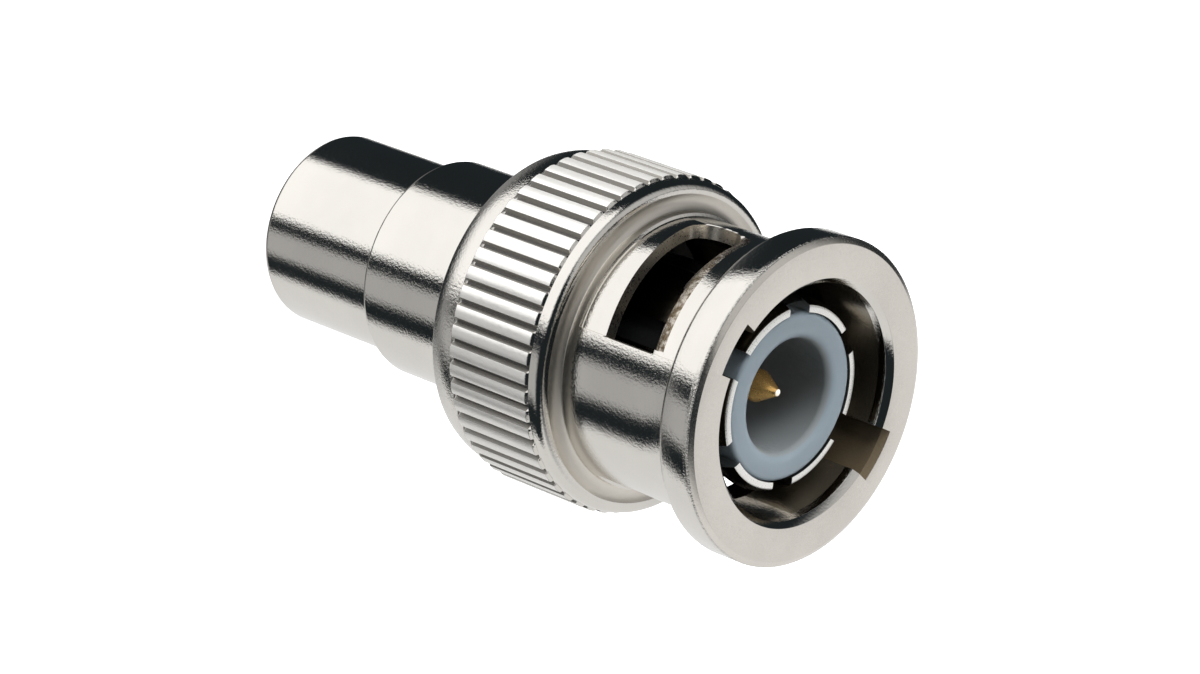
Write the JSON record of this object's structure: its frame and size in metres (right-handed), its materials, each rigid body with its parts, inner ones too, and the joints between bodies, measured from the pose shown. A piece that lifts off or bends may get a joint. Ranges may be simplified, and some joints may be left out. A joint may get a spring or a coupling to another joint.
{
  "type": "bnc to rca adapter",
  "caption": "Coaxial adapter: a bayonet plug with a turning, knurled coupling nut at one end and a phono jack at the other.",
  "frame": {"origin": "centre of the phono jack's end face, on the axis", "axes": "+Z along the axis from the jack end to the bayonet mouth; +X through the middle of one of the nut's two entry channels at rest"},
  "size_m": [0.0144, 0.0144, 0.0277],
  "materials": {
    "nickel_body": "bright nickel plate",
    "nickel_nut": "bright nickel plate",
    "nickel_contact": "bright nickel plate",
    "spring_steel": "plain rolled",
    "spring_bronze": "plain rolled",
    "gold": "gold plate",
    "pale_plastic": "smooth, slightly translucent",
    "white_plastic": "smooth",
    "gasket_rubber": "matt"
  },
  "bodies": {
    "body": {"shell": "nickel_body", "outer_contact": "nickel_contact", "bnc_insulator": "pale_plastic", "centre_pin": "gold", "rca_insulator": "white_plastic", "rca_socket_contact": "gold", "gasket": "gasket_rubber", "retaining_ring": "spring_bronze", "front_washer": "spring_steel"},
    "sprung_washer": {"thrust_washer": "spring_steel", "wave_washer": "spring_bronze"},
    "nut": {"coupling_nut": "nickel_nut"}
  },
  "joints": [
    {"name": "nut_draw", "type": "slide", "parent": "body", "child": "sprung_washer", "axis": [0, 0, 1], "range_m": [0, 0.0005], "stiffness_N_per_m": 1500, "springref_m": -0.002, "deforming": ["wave_washer"]},
    {"name": "nut_turn", "type": "hinge", "parent": "sprung_washer", "child": "nut", "pos_m": [0, 0, 0.02], "axis": [0, 0, 1], "continuous": true}
  ]
}
